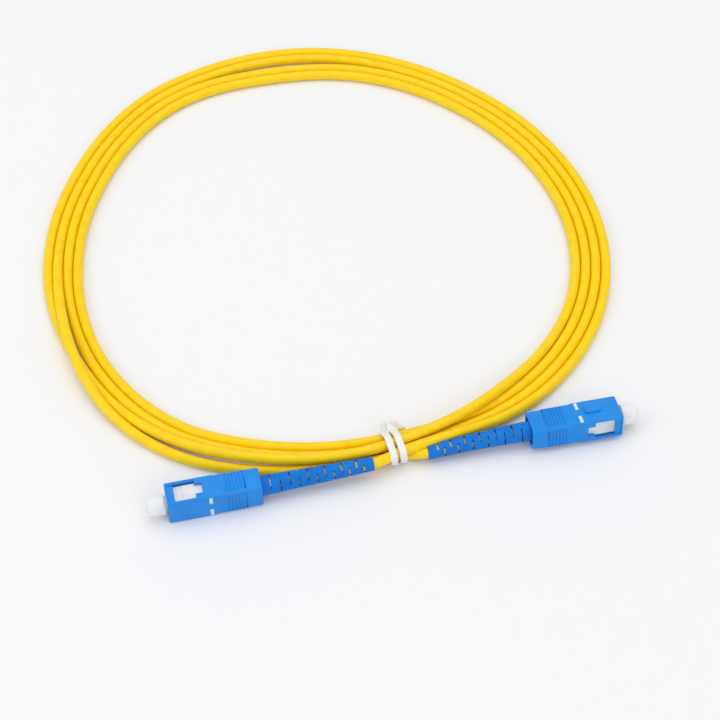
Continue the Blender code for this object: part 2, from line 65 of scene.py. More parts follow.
lens = bpy.data.cameras.new("eye")
lens.lens, lens.sensor_width = FOCAL, 36.0
lens.clip_start, lens.clip_end = 0.01, 20.0
eye = aimed("eye", lens, EYE, LOOK_AT)
eye.matrix_world = eye.matrix_basis @ Matrix.Rotation(math.radians(EYE_ROLL), 4, "Z")
bpy.context.scene.camera = eye


def soft_light(name, place, width, watts, colour=(1.0, 1.0, 1.0)):
    """A round light, its width in metres, aimed at the middle of the table."""
    lamp = bpy.data.lights.new(name, "AREA")
    lamp.shape = "DISK"
    lamp.size, lamp.energy, lamp.color = width, watts, colour
    return aimed(name, lamp, place, (0.0, 0.0, 0.0))


soft_light("overhead", (0.1, 0.25, 1.3), 1.5, 5.4)
soft_light("from_left", (-0.9, -0.3, 0.8), 0.9, 2.25, (1.0, 0.99, 0.97))
soft_light("from_front", (0.5, -0.9, 0.7), 0.5, 1.3)

surroundings = bpy.data.worlds.new("studio")
surroundings.use_nodes = True
background = surroundings.node_tree.nodes["Background"]
background.inputs["Color"].default_value = (0.98, 0.99, 1.0, 1.0)
background.inputs["Strength"].default_value = 0.74
bpy.context.scene.world = surroundings
bpy.context.scene.view_settings.view_transform = "Standard"


class Socket:
    """A shader value that Python's operators work on: each of them adds a Math node."""

    def __init__(self, finish, link):
        self.finish, self.link = finish, link

    def maths(self, operation, first, second):
        return self.finish.node("ShaderNodeMath", {"operation": operation}, {0: first, 1: second})

    def __add__(self, other):
        return self.maths("ADD", self, other)

    def __sub__(self, other):
        return self.maths("SUBTRACT", self, other)

    def __rsub__(self, other):
        return self.maths("SUBTRACT", other, self)

    def __mul__(self, other):
        return self.maths("MULTIPLY", self, other)

    __radd__, __rmul__ = __add__, __mul__

    def between(self, low, high):
        """0 below low, 1 above high and a smooth ramp from one to the other."""
        return self.finish.node(
            "ShaderNodeMapRange", {"interpolation_type": "SMOOTHSTEP"}, {0: self, 1: low, 2: high}
        )


class Finish:
    """One material, with its own nodes round a single shader."""

    def __init__(self, name, colour, **constants):
        self.material = bpy.data.materials.new(name)
        self.material.use_nodes = True
        self.material.diffuse_color = (*colour, 1.0)
        self.tree = self.material.node_tree
        self.shader = self.tree.nodes["Principled BSDF"]
        self.shader.inputs["Base Color"].default_value = (*colour, 1.0)
        for label, value in constants.items():
            self.shader.inputs[label.replace("_", " ")].default_value = value
        self.coordinates = Socket(self, self.tree.nodes.new("ShaderNodeTexCoord").outputs["Object"])

    def node(self, kind, settings, inputs, out=0):
        made = self.tree.nodes.new(kind)
        for label, value in settings.items():
            setattr(made, label, value)
        for label, value in inputs.items():
            self.feed(made.inputs[label], value)
        return Socket(self, made.outputs[out])

    def feed(self, target, value):
        if isinstance(value, Socket):
            self.tree.links.new(value.link, target)
        elif isinstance(value, tuple):
            target.default_value = (*value, 1.0)
        else:
            target.default_value = value

    def use(self, **inputs):
        for label, value in inputs.items():
            self.feed(self.shader.inputs[label.replace("_", " ")], value)

    def noise(self, size, detail):
        """Mottling whose lumps are size millimetres across."""
        return self.node(
            "ShaderNodeTexNoise",
            {},
            {"Vector": self.coordinates, "Scale": 1000.0 / size, "Detail": detail, "Roughness": 0.55},
        )

    def mix(self, share, low, high):
        return self.node(
            "ShaderNodeMix", {"data_type": "RGBA"}, {"Factor": share, 6: low, 7: high}, 2
        )

    def mottled(self, mottle, dark, light, low=0.3, high=0.7):
        """Colour that drifts from dark to light with the mottling."""
        self.use(Base_Color=self.mix(mottle.between(low, high), dark, light))

    def satin(self, grain, middle, swing):
        """Roughness that swings about its middle value with the grain."""
        self.use(Roughness=middle + swing * (grain - 0.5))

    def bump(self, height, depth):
        """Relief of depth millimetres."""
        relief = {"Strength": 1.0, "Distance": depth * MM, "Height": height}
        self.use(Normal=self.node("ShaderNodeBump", {}, relief))

    def coat(self, thing):
        thing.data.materials.clear()
        thing.data.materials.append(self.material)


paper = Finish("white_table", (0.875, 0.875, 0.885), Roughness=0.75, Specular_IOR_Level=0.3)
paper.bump(paper.noise(1.2, 4.0), 0.02)

# The sheet in metres: its near edge, where it bends up and how widely, its top and half its width
SHEET_NEAR, SHEET_BEND, SHEET_CURVE, SHEET_TOP, SHEET_HALF = -3.0, 0.9, 0.8, 4.0, 4.0


def floor_sheet():
    """A flat sheet that curves up far behind the object."""
    rows = [(SHEET_NEAR, 0.0), (SHEET_BEND, 0.0)]
    for turn in np.linspace(0.1, 1.57, 12):
        rows.append((SHEET_BEND + SHEET_CURVE * math.sin(turn), SHEET_CURVE * (1 - math.cos(turn))))
    rows.append((SHEET_BEND + SHEET_CURVE, SHEET_TOP))
    points = [(x, y, z) for y, z in rows for x in (-SHEET_HALF, SHEET_HALF)]
    faces = [(2 * i, 2 * i + 1, 2 * i + 3, 2 * i + 2) for i in range(len(rows) - 1)]
    mesh = bpy.data.meshes.new("table")
    mesh.from_pydata(points, [], faces)
    mesh.shade_smooth()
    table = placed("table", mesh)
    paper.coat(table)


floor_sheet()


# The cord.
# One yellow 3.0 mm jacketed cord about 2 m long, from inside one boot, four times round, and into
# the other boot. Its turns lie side by side, on each other where they're drawn close, and the tie
# gathers them where the first turn crosses to the inside.
CORD = 3.0
COIL_CENTRE = np.array((-1.415, 6.14))
INSIDE_BOOT = 29.0
# Each plug's front, heading and roll, how far back its boot reaches and how far its tip is bent
PLUGS = {
    "left": {
        "front": (-43.65, -88.66, 4.5), "heading": 12.6, "roll": -90.0,
        "boot_tip": 57.1, "bend": (0.0, 0.0, 0.5),
    },
    "right": {
        "front": (80.56, -59.83, 4.42), "heading": 191.6, "roll": 10.0,
        "boot_tip": 54.6, "bend": (0.0, -0.6, -1.2),
    },
}
# Angle round the coil, then the radius of the innermost strand and of the outermost one
INNER_AND_OUTER = (
    (-30, 74.8, 84.1), (-20, 75.45, 84.15), (-10, 75.6, 83.6), (0, 75.4, 82.7), (15, 74.2, 81.6),
    (30, 73.0, 81.0), (50, 72.15, 81.15), (70, 73.6, 82.8), (90, 75.1, 85.6), (100, 74.8, 86.5),
    (110, 75.9, 86.8), (120, 77.9, 86.8), (130, 78.95, 86.95), (140, 77.1, 86.2),
    (150, 75.8, 84.6), (160, 74.85, 82.75), (180, 74.4, 83.2), (200, 75.75, 83.95),
    (210, 77.0, 84.9), (220, 77.9, 86.3), (230, 78.65, 87.85), (240, 78.7, 87.75),
    (250, 76.45, 86.05),
)
# Angle, radius and height of each strand where it leaves its lane
BY_LEFT_BOOT = ((281.3, 82.9, 5.1), (283.1, 82.1, 5.1))
FROM_LEFT_BOOT = (
    (285, 81.2, 5.15), (287, 80.4, 5.25), (289.5, 79.6, 5.05), (292, 79.3, 4.7), (296, 79.6, 4.2),
    (301, 80.5, 3.4), (306, 81.5, 2.5), (312, 82.4, 1.7), (319, 82.9, 1.5),
)
FIRST_ACROSS = (
    (200, 83.2, 1.5), (212, 83.4, 1.5), (225, 84.4, 1.6), (236, 84.2, 2.6), (250, 82.8, 3.8),
    (262, 81.0, 4.4), (274, 79.5, 4.5), (281, 78.5, 4.7), (285, 77.8, 4.9), (289.5, 76.5, 5.2),
    (294, 76.0, 4.9), (303, 75.5, 4.4), (310, 75.0, 3.8), (316, 74.5, 3.0), (322, 74.4, 2.0),
    (328, 74.7, 1.5),
)
SECOND_IN = (
    (262, 74.9, 1.5), (272, 74.3, 1.9), (284.4, 73.8, 2.4), (290, 74.0, 2.3), (296, 74.7, 2.1),
    (303, 75.6, 1.8), (310, 76.6, 1.5), (318, 77.4, 1.5), (326, 78.0, 1.5),
)
THIRD_IN = (
    (262, 77.9, 1.5), (272, 77.3, 1.9), (284.4, 76.8, 2.4), (290, 77.0, 2.3), (296, 77.7, 2.1),
    (303, 78.6, 1.8), (310, 79.6, 1.5), (318, 80.4, 1.5), (326, 81.1, 1.5),
)
LAST_OUT = (
    (196, 81.4, 3.0), (206, 82.9, 4.4), (216, 84.9, 4.0), (225, 87.0, 2.2), (232, 87.85, 1.5),
    (240, 87.75, 1.5), (250, 86.05, 1.5), (260, 83.4, 1.5), (270, 81.2, 1.5), (278, 80.2, 1.6),
    (285, 80.2, 2.1),
)
BY_RIGHT_BOOT = ((286.7, 80.9, 2.4), (288.4, 81.8, 2.8))
STEP = 3.0
FIRST_AT, LAST_AT = 285.0, 285.0 + 4 * 360
# How far the second lane stands off the first between two angles, the angle past which the third
# lane parts from the outermost, and the degrees that each change takes
STAND_OFF, STAND_FROM, STAND_TO, STAND_FADE = 0.35, -38, -2, 10
PART_FROM, PART_FADE = 214, 8


def eased(share):
    share = min(max(share, 0.0), 1.0)
    return share * share * (3 - 2 * share)


def lane(number, at, inner, outer):
    """Radius of a lane of the coil, 0 innermost and 3 outermost, with the gaps between them."""
    standing = eased((at - STAND_FROM) / STAND_FADE) * eased((STAND_TO - at) / STAND_FADE)
    second = inner + CORD + STAND_OFF * standing
    spare = outer - second - 2 * CORD
    parted = eased((at - PART_FROM) / PART_FADE)
    third = outer - CORD - spare * parted if spare > 0 else (second + outer) / 2
    return (inner, second, third, outer)[number]


def cord_knots():
    """Angle counted on from the first boot, radius and height, four times round."""
    knots = list(FROM_LEFT_BOOT)
    laps = ((3, 190, FIRST_ACROSS), (0, 250, SECOND_IN), (1, 250, THIRD_IN), (2, 180, LAST_OUT))
    for lap, (number, until, ending) in enumerate(laps, 1):
        for at, inner, outer in INNER_AND_OUTER:
            if knots[-1][0] - 360 * lap < at <= until:
                knots.append((at + 360 * lap, lane(number, at, inner, outer), CORD / 2))
        knots += [(at + 360 * lap, radius, height) for at, radius, height in ending]
    return np.array(knots)


def smooth_through(knots, at):
    """Each column of the knots as a smooth curve without overshoot, at the given angles."""
    keys, values = knots[:, 0], knots[:, 1:]
    spans = np.diff(keys)[:, None]
    rates = np.diff(values, axis=0) / spans
    same_way = rates[1:] * rates[:-1] > 0
    total = rates[1:] + rates[:-1]
    slopes = np.zeros_like(values)
    slopes[1:-1] = np.where(same_way, 2 * rates[1:] * rates[:-1] / np.where(total == 0, 1, total), 0)
    slopes[0], slopes[-1] = rates[0], rates[-1]
    i = np.clip(np.searchsorted(keys, at, side="right") - 1, 0, len(keys) - 2)
    s = ((at - keys[i]) / spans[i, 0])[:, None]
    return (
        values[i] * (1 + 2 * s) * (1 - s) ** 2 + slopes[i] * spans[i] * s * (1 - s) ** 2
        + values[i + 1] * s * s * (3 - 2 * s) + slopes[i + 1] * spans[i] * s * s * (s - 1)
    )


def on_plug(end, along):
    """A point on a plug's axis, in millimetres behind the front of its housing."""
    plug = PLUGS[end]
    turn = math.radians(plug["heading"])
    x, y, z = plug["front"]
    straight = np.array((x + along * math.cos(turn), y + along * math.sin(turn), z))
    return straight + boot_bend(end, along)


BEND_START = 26.0


def boot_bend(end, along):
    """How far the boot, and the cord in it, is bent off the plug's axis."""
    plug = PLUGS[end]
    share = max(along - BEND_START, 0.0) / (plug["boot_tip"] - BEND_START)
    return np.array(plug["bend"]) * share ** 2


def round_coil(at, radius, height):
    turn = np.radians(at)
    middle_x, middle_y = COIL_CENTRE
    return np.stack((middle_x + radius * np.cos(turn), middle_y + radius * np.sin(turn), height), -1)


# Rounds of pressing the strands apart, how many of them also even out the line, how strongly it is
# evened out and held to its route, and how far apart strands end up, in cord diameters
PRESS_ROUNDS, EVEN_ROUNDS, EVENING, HOLDING, APART = 500, 420, 0.35, 0.05, 1.005


def settle(strand):
    """Strands that would share space are pressed apart, and nothing sinks into the table."""
    per_lap = int(360 / STEP)
    wanted = strand.copy()
    for round_number in range(PRESS_ROUNDS):
        for lag in range(per_lap, 4 * per_lap + 1, per_lap):
            gap = strand[lag:] - strand[:-lag]
            distance = np.maximum(np.hypot(gap[:, 0], gap[:, 1]), 1e-6)
            push = np.maximum(CORD * APART - distance, 0.0) / distance * 0.5
            strand[:-lag] -= gap * push[:, None]
            strand[lag:] += gap * push[:, None]
        strand[:, 1] = np.maximum(strand[:, 1], CORD / 2)
        if round_number < EVEN_ROUNDS:
            middle = (strand[:-2] + strand[2:]) / 2
            strand[1:-1] += EVENING * (middle - strand[1:-1])
            strand += HOLDING * (wanted - strand)
            strand[0], strand[-1] = wanted[0], wanted[-1]
    return strand


# How far past a boot's tip the cord still runs straight, and its points from there to its end
PAST_TIP, BOOT_POINTS = 0.8, 8


def cord_line():
    """The whole centre line, from inside the left boot to inside the right one."""
    at = np.arange(FIRST_AT, LAST_AT + 0.1, STEP)
    strand = settle(smooth_through(cord_knots(), at))
    leaving = np.linspace(INSIDE_BOOT, PLUGS["left"]["boot_tip"] + PAST_TIP, BOOT_POINTS)
    arriving = np.linspace(PLUGS["right"]["boot_tip"] + PAST_TIP, INSIDE_BOOT, BOOT_POINTS)
    return np.vstack((
        [on_plug("left", along) for along in leaving],
        [round_coil(*place) for place in BY_LEFT_BOOT],
        round_coil(at, strand[:, 0], strand[:, 1]),
        [round_coil(*place) for place in BY_RIGHT_BOOT],
        [on_plug("right", along) for along in arriving],
    ))


def rounded(points, times=2):
    """Corners cut twice, so that the line is smooth from point to point."""
    for _ in range(times):
        near = points[:-1] * 0.75 + points[1:] * 0.25
        far = points[:-1] * 0.25 + points[1:] * 0.75
        middle = np.empty((2 * len(near), 3))
        middle[0::2], middle[1::2] = near, far
        points = np.vstack((points[:1], middle, points[-1:]))
    return points


def tube_curve(name, points, width):
    shape = bpy.data.curves.new(name, "CURVE")
    shape.dimensions = "3D"
    shape.bevel_depth, shape.bevel_resolution = width / 2 * MM, 5
    shape.use_fill_caps = True
    line = shape.splines.new("POLY")
    line.points.add(len(points) - 1)
    line.points.foreach_set("co", np.column_stack((points * MM, np.ones(len(points)))).ravel())
    line.use_smooth = True
    return placed(name, shape)


jacket = Finish("yellow_jacket", (0.95, 0.64, 0.0), Specular_IOR_Level=0.3)
ripple = jacket.noise(2.6, 2.0)
fine = jacket.noise(0.35, 3.0)
jacket.mottled(ripple, (0.93, 0.61, 0.0), (0.97, 0.67, 0.002))
jacket.satin(fine, 0.38, 0.16)
jacket.bump(fine * 0.35 + ripple, 0.05)

centre_line = rounded(cord_line())
cord = tube_curve("patch_cord", centre_line, CORD)
jacket.coat(cord)
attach(cord, "cord")
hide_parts("cord_coil", "left_lead", "right_lead")
tuple(on_plug("left", PLUGS["left"]["boot_tip"]) * MM)


# The coupling housings.
# The blue moulded outer box of each plug. It slides on the plug frame, has a key on one wide face,
# a T-shaped window in each narrow one, a grooved grip, and white paint marks on both wide faces.
HALF_WIDE, HALF_HIGH, LENGTH = 4.5, 3.7, 25.8
# Along the housing: how far its sides are drawn in, and how widely its corners are cut off
HOUSING_RINGS = (
    (0.0, 0.25, 0.3), (0.25, 0.0, 0.35), (12.8, 0.0, 0.35), (13.4, 0.0, 0.65),
    (21.3, 0.0, 0.65), (21.7, 0.0, 0.9), (LENGTH - 0.3, 0.0, 0.9), (LENGTH, 0.3, 0.8),
)
# The hollow for the plug frame, and behind it the wider one for the boot: start, sides and corner
HOLLOW_WIDE, HOLLOW_HIGH, HOLLOW_END = 3.65, 3.0, 19.1
REAR_START, REAR_SIDES = 18.6, (3.7, 3.05, 1.0)
# Along the key: half its width, the height of its top and its corner; it starts inside the wall
KEY_RINGS = (
    (5.6, 0.9, 4.45, 0.1), (5.75, 1.0, 4.6, 0.15), (9.85, 1.0, 4.6, 0.15), (10.0, 0.9, 4.45, 0.1)
)
KEY_FOOT = 3.3
GROOVES, GROOVE_START, GROOVE_PITCH, GROOVE_WIDTH, GROOVE_DEPTH = 6, 16.2, 0.95, 0.45, 0.25
GROOVE_HALF_NARROW, GROOVE_HALF_WIDE = 2.8, 3.6
WINDOW_FRONT, WINDOW_BACK, WINDOW_HALF = 2.3, 8.0, 2.8
TAIL_FRONT, TAIL_BACK, TAIL_HALF = 7.0, 10.0, 1.6
POCKET_FRONT, POCKET_BACK, POCKET_HALF, POCKET_DEPTH = 0.55, 3.0, 2.5, 0.4
# The bevel along a window's long edges, across the plug and up it
BEVEL = ((4.25, 2.79), (4.6, 2.79), (4.6, 3.15))
MARK_FRONT, MARK_BACK, MARK_INNER, MARK_OUTER, MARK_TOP = 11.25, 12.15, 1.3, 4.0, 3.73
# A distance that lies inside the wall, and one that is well outside the plug
WITHIN, BEYOND = 1.0, 9.0
ROUND_STEPS = 48


def box_shape(low, high):
    across, up = (low[1], high[1]), (low[2], high[2])
    points = [(x, y, z) for x in (low[0], high[0]) for y in across for z in up]
    faces = [(0, 1, 3, 2), (4, 6, 7, 5), (0, 4, 5, 1), (2, 3, 7, 6), (0, 2, 6, 4), (1, 5, 7, 3)]
    return points, faces


def ring_shape(rings, closed=False):
    """A solid through rings of points, with flat ends unless it's closed on itself."""
    count = len(rings[0])
    points = [tuple(p) for ring in rings for p in ring]
    faces = []
    for i in range(len(rings) if closed else len(rings) - 1):
        here, there = i * count, (i + 1) % len(rings) * count
        for j in range(count):
            k = (j + 1) % count
            faces.append((here + j, here + k, there + k, there + j))
    if not closed:
        faces.append(tuple(range(count))[::-1])
        faces.append(tuple(range(len(points) - count, len(points))))
    return points, faces


def circles(profile, steps=ROUND_STEPS):
    """Rings of points round the axis, for pairs of a distance along it and a radius."""
    turns = [math.tau * i / steps for i in range(steps)]
    return [[(x, r * math.cos(t), r * math.sin(t)) for t in turns] for x, r in profile]


def oblong(along, half_wide, half_high, corner):
    quarter = [(half_wide, half_high - corner), (half_wide - corner, half_high)]
    half = quarter + [(-y, z) for y, z in reversed(quarter)]
    return [(along, y, z) for y, z in half + [(-y, -z) for y, z in half]]


def joined(*shapes):
    points, faces = [], []
    for more_points, more_faces in shapes:
        faces += [tuple(len(points) + i for i in face) for face in more_faces]
        points += more_points
    return points, faces


def both_sides(low, high):
    """A box that spans from y = low[1] outwards, on both narrow faces."""
    mirrored = ((low[0], -high[1], low[2]), (high[0], -low[1], high[2]))
    return joined(box_shape(low, high), box_shape(*mirrored))


def plain_object(name, shape):
    mesh = bpy.data.meshes.new(name)
    mesh.from_pydata(shape[0], [], shape[1])
    work = bmesh.new()
    work.from_mesh(mesh)
    bmesh.ops.recalc_face_normals(work, faces=work.faces)
    work.to_mesh(mesh)
    work.free()
    return placed(name, mesh)


def carved(name, end, body, steps, rounding, move=None):
    """A moulding: a body with shapes cut out or added, its edges rounded, put in its plug's place."""
    rough = plain_object(name + "_rough", body)
    helpers = [rough]
    for i, (operation, shape) in enumerate(steps):
        helper = plain_object(f"{name}_{i}", shape)
        helpers.append(helper)
        step = rough.modifiers.new(str(i), "BOOLEAN")
        step.operation, step.object, step.solver = operation, helper, "EXACT"
    if rounding:
        edge = rough.modifiers.new("edges", "BEVEL")
        edge.width, edge.segments, edge.limit_method = rounding, 2, "ANGLE"
        edge.angle_limit = math.radians(35)
        edge.use_clamp_overlap = False
    bpy.context.view_layer.update()
    depsgraph = bpy.context.evaluated_depsgraph_get()
    mesh = bpy.data.meshes.new_from_object(rough.evaluated_get(depsgraph))
    for helper in helpers:
        bpy.data.objects.remove(helper)
    if move:
        for vertex in mesh.vertices:
            vertex.co = move(vertex.co)
    plug = PLUGS[end]
    spin = Matrix.Rotation(math.radians(plug["heading"]), 4, "Z")
    roll = Matrix.Rotation(math.radians(plug["roll"]), 4, "X")
    mesh.transform(Matrix.Translation(Vector(plug["front"]) * MM) @ spin @ roll @ Matrix.Scale(MM, 4))
    mesh.name = name
    mesh.shade_smooth()
    mesh.set_sharp_from_angle(angle=math.radians(40))
    return placed(name, mesh)


def housing_shape():
    """The outside of the housing, and what is cut out of it and added to it."""
    outside = ring_shape([
        oblong(x, HALF_WIDE - inset, HALF_HIGH - inset, corner) for x, inset, corner in HOUSING_RINGS
    ])
    hollow = box_shape((-1.0, -HOLLOW_WIDE, -HOLLOW_HIGH), (HOLLOW_END, HOLLOW_WIDE, HOLLOW_HIGH))
    rear = ring_shape([oblong(x, *REAR_SIDES) for x in (REAR_START, LENGTH + 1.0)])
    points, faces = ring_shape([oblong(*ring) for ring in KEY_RINGS])
    key = ([(x, y, max(z, KEY_FOOT)) for x, y, z in points], faces)
    grooves = []
    for i in range(GROOVES):
        front = GROOVE_START + GROOVE_PITCH * i
        back = front + GROOVE_WIDTH
        grooves.append(both_sides(
            (front, HALF_WIDE - GROOVE_DEPTH, -GROOVE_HALF_NARROW), (back, BEYOND, GROOVE_HALF_NARROW)
        ))
        for side in (-1, 1):
            low, high = sorted((side * (HALF_HIGH - GROOVE_DEPTH), side * BEYOND))
            grooves.append(box_shape((front, -GROOVE_HALF_WIDE, low), (back, GROOVE_HALF_WIDE, high)))
    pocket = both_sides(
        (POCKET_FRONT, HALF_WIDE - POCKET_DEPTH, -POCKET_HALF), (POCKET_BACK, BEYOND, POCKET_HALF)
    )
    window = both_sides((WINDOW_FRONT, WITHIN, -WINDOW_HALF), (WINDOW_BACK, BEYOND, WINDOW_HALF))
    tail = both_sides((TAIL_FRONT, WITHIN, -TAIL_HALF), (TAIL_BACK, BEYOND, TAIL_HALF))
    bevels = []
    for side in (-1, 1):
        for face in (1, -1):
            bevels.append(ring_shape([
                [(x, face * y, side * z) for y, z in BEVEL] for x in (WINDOW_FRONT, WINDOW_BACK)
            ]))
    cuts = [hollow, rear, joined(*grooves), pocket, window, tail, joined(*bevels)]
    return outside, [("UNION", key)] + [("DIFFERENCE", cut) for cut in cuts]


def marks_shape():
    """Two strips on each wide face, sunk a little into it."""
    strips = []
    for side in (-1, 1):
        for across in (-1, 1):
            y = sorted((across * MARK_INNER, across * MARK_OUTER))
            z = sorted((side * (HALF_HIGH - 0.1), side * MARK_TOP))
            strips.append(box_shape((MARK_FRONT, y[0], z[0]), (MARK_BACK, y[1], z[1])))
    return joined(*strips)


# Dyed plastic straight from the mould: a faint flow in the colour and a fine satin grain
housing_blue = Finish("housing_blue", (0.003, 0.26, 0.78), Specular_IOR_Level=0.35, IOR=1.49)
flow = housing_blue.noise(6.0, 2.0)
grain = housing_blue.noise(0.22, 2.0)
housing_blue.mottled(flow, (0.002, 0.235, 0.73), (0.003, 0.26, 0.78), high=0.72)
housing_blue.satin(grain, 0.36, 0.14)
housing_blue.bump(grain + flow * 0.4, 0.012)

mark_white = Finish("mark_paint", (0.8, 0.86, 0.92), Specular_IOR_Level=0.4)
paint = mark_white.noise(0.5, 3.0)
mark_white.mottled(paint, (0.5, 0.66, 0.85), (0.74, 0.83, 0.92), 0.35, 0.6)
mark_white.satin(paint, 0.5, 0.2)
mark_white.bump(paint, 0.01)

for end in PLUGS:
    housing = carved(f"{end}_coupling_housing", end, *housing_shape(), rounding=0.09)
    housing_blue.coat(housing)
    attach(housing, f"{end}_coupling")
    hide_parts(f"{end}_housing")
    marks = carved(f"{end}_marks", end, marks_shape(), [], rounding=0.02)
    mark_white.coat(marks)
    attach(marks, f"{end}_coupling")


# The plug frames.
# The white moulded square tube inside each housing. Under each window it has a stepped notch for
# the adapter's latch, and its bore steps down to a shoulder that the ferrule's flange rests on.
FRAME_WIDE, FRAME_HIGH, FRAME_START, FRAME_END = 3.45, 2.8, 0.6, 18.5
# Along the frame: how far its sides are drawn in, and how widely its corners are cut off
FRAME_RINGS = (
    (FRAME_START, 0.2, 0.35), (FRAME_START + 0.25, 0.0, 0.45), (FRAME_END - 0.2, 0.0, 0.45),
    (FRAME_END, 0.15, 0.4),
)
# Where the notch ends, and how deep it is under the housing's narrow face, in its two steps
NOTCHES = ((7.7, 1.35), (4.6, 1.7))
NOTCH_HALF = 2.6
# Distances along the bore and its radii
BORE = ((-1.0, 2.35), (0.6, 2.35), (7.2, 2.35), (7.21, 1.6), (8.0, 1.6), (8.01, 2.45), (20.0, 2.45))

white_plastic = Finish("frame_white", (0.8, 0.82, 0.84), Specular_IOR_Level=0.45)
cloud = white_plastic.noise(3.0, 2.0)
fleck = white_plastic.noise(0.25, 2.0)
white_plastic.mottled(cloud, (0.76, 0.78, 0.81), (0.83, 0.85, 0.86))
white_plastic.satin(fleck, 0.375, 0.15)
white_plastic.bump(fleck + cloud * 0.3, 0.012)

for end in PLUGS:
    outside = ring_shape([
        oblong(x, FRAME_WIDE - inset, FRAME_HIGH - inset, corner) for x, inset, corner in FRAME_RINGS
    ])
    cuts = [
        both_sides((WINDOW_FRONT, HALF_WIDE - depth, -NOTCH_HALF), (back, BEYOND, NOTCH_HALF))
        for back, depth in NOTCHES
    ]
    cuts.append(ring_shape(circles(BORE)))
    steps = [("DIFFERENCE", cut) for cut in cuts]
    plug_frame = carved(f"{end}_square_frame", end, outside, steps, rounding=0.08)
    white_plastic.coat(plug_frame)
    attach(plug_frame, "cord")
    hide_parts(f"{end}_plug_frame")


# The ferrules and the parts behind them.
# A polished white zirconia ferrule pressed in a nickel-plated holder, its spring, a plated stop ring
# that yarn is crimped on by a plated sleeve, and the thin tube and buffered fibre inside them.
def machined(name, colour, roughness):
    """Plated metal with the fine lines that turning leaves."""
    finish = Finish(name, colour, Metallic=1.0)
    lines = finish.noise(0.12, 2.0)
    broad = finish.noise(2.0, 2.0)
    finish.use(Base_Color=finish.mix(broad, tuple(0.85 * part for part in colour), colour))
    finish.satin(lines, roughness, 0.2)
    finish.bump(lines, 0.006)
    return finish


def soft_finish(name, colour, dark, size, roughness, depth, **constants):
    """A material with one mottling, size millimetres across, in its colour, gloss and relief."""
    finish = Finish(name, colour, **constants)
    mottle = finish.noise(size, 3.0)
    finish.mottled(mottle, dark, colour)
    finish.satin(mottle, roughness, 0.2)
    finish.bump(mottle, depth)
    return finish


zirconia = soft_finish(
    "zirconia", (0.86, 0.86, 0.82), (0.82, 0.82, 0.78), 0.8, 0.14, 0.002, Coat_Weight=0.6
)
nickel = machined("nickel_plate", (0.68, 0.66, 0.6), 0.28)
spring_wire = machined("spring_wire", (0.55, 0.56, 0.58), 0.32)
guide_tube = soft_finish(
    "guide_tube", (0.88, 0.89, 0.9), (0.8, 0.82, 0.84), 1.5, 0.3, 0.004, Transmission_Weight=0.4
)
yarn = soft_finish("aramid_yarn", (0.72, 0.55, 0.12), (0.55, 0.4, 0.07), 0.15, 0.7, 0.08)
buffer = soft_finish("buffer_coat", (0.86, 0.72, 0.24), (0.8, 0.66, 0.2), 0.9, 0.42, 0.005)
INNER = {
    "ferrule": zirconia, "ferrule_holder": nickel, "stop_ring": nickel, "crimp_sleeve": nickel,
    "spring": spring_wire, "inner_tube": guide_tube, "aramid_yarn": yarn, "buffered_fibre": buffer,
}
for end in PLUGS:
    for piece, finish in INNER.items():
        bpy.data.objects[f"{end}_{piece}"].material_slots[0].material = finish.material


# The boots.
# A tapered blue elastomer sleeve behind each plug that keeps the cord from bending sharply. Slots
# cut from both sides, each pair turned a quarter from the last, leave it two narrow bridges.

# Boots: where they start and their straight part ends, and their radius there and at the tip
BOOT_START, BOOT_STRAIGHT, BOOT_WIDE, BOOT_NARROW, BOOT_STEPS = 20.9, 26.6, 2.8, 1.98, 40
# The rounded edge at the tip, the bore, and the wider bore that takes the crimp sleeve
TIP_EDGE, BOOT_BORE, SLEEVE_BORE, SLEEVE_END, BORE_START = 0.4, 1.6, 2.4, 30.6, 31.3
# Slots: how many, the first and how far the last is from the tip, half the bridge between a pair,
# the first one's width and how much wider each next one is, the first pitch and how it shortens
SLOT_COUNT, SLOT_FIRST, SLOT_LAST, SLOT_BRIDGE = 12, 28.2, 3.1, 1.1
SLOT_WIDTH, SLOT_WIDENS, SLOT_PITCH, PITCH_SHORTENS, SLOT_REACH = 0.3, 0.03, 2.6, 0.07, 4.0


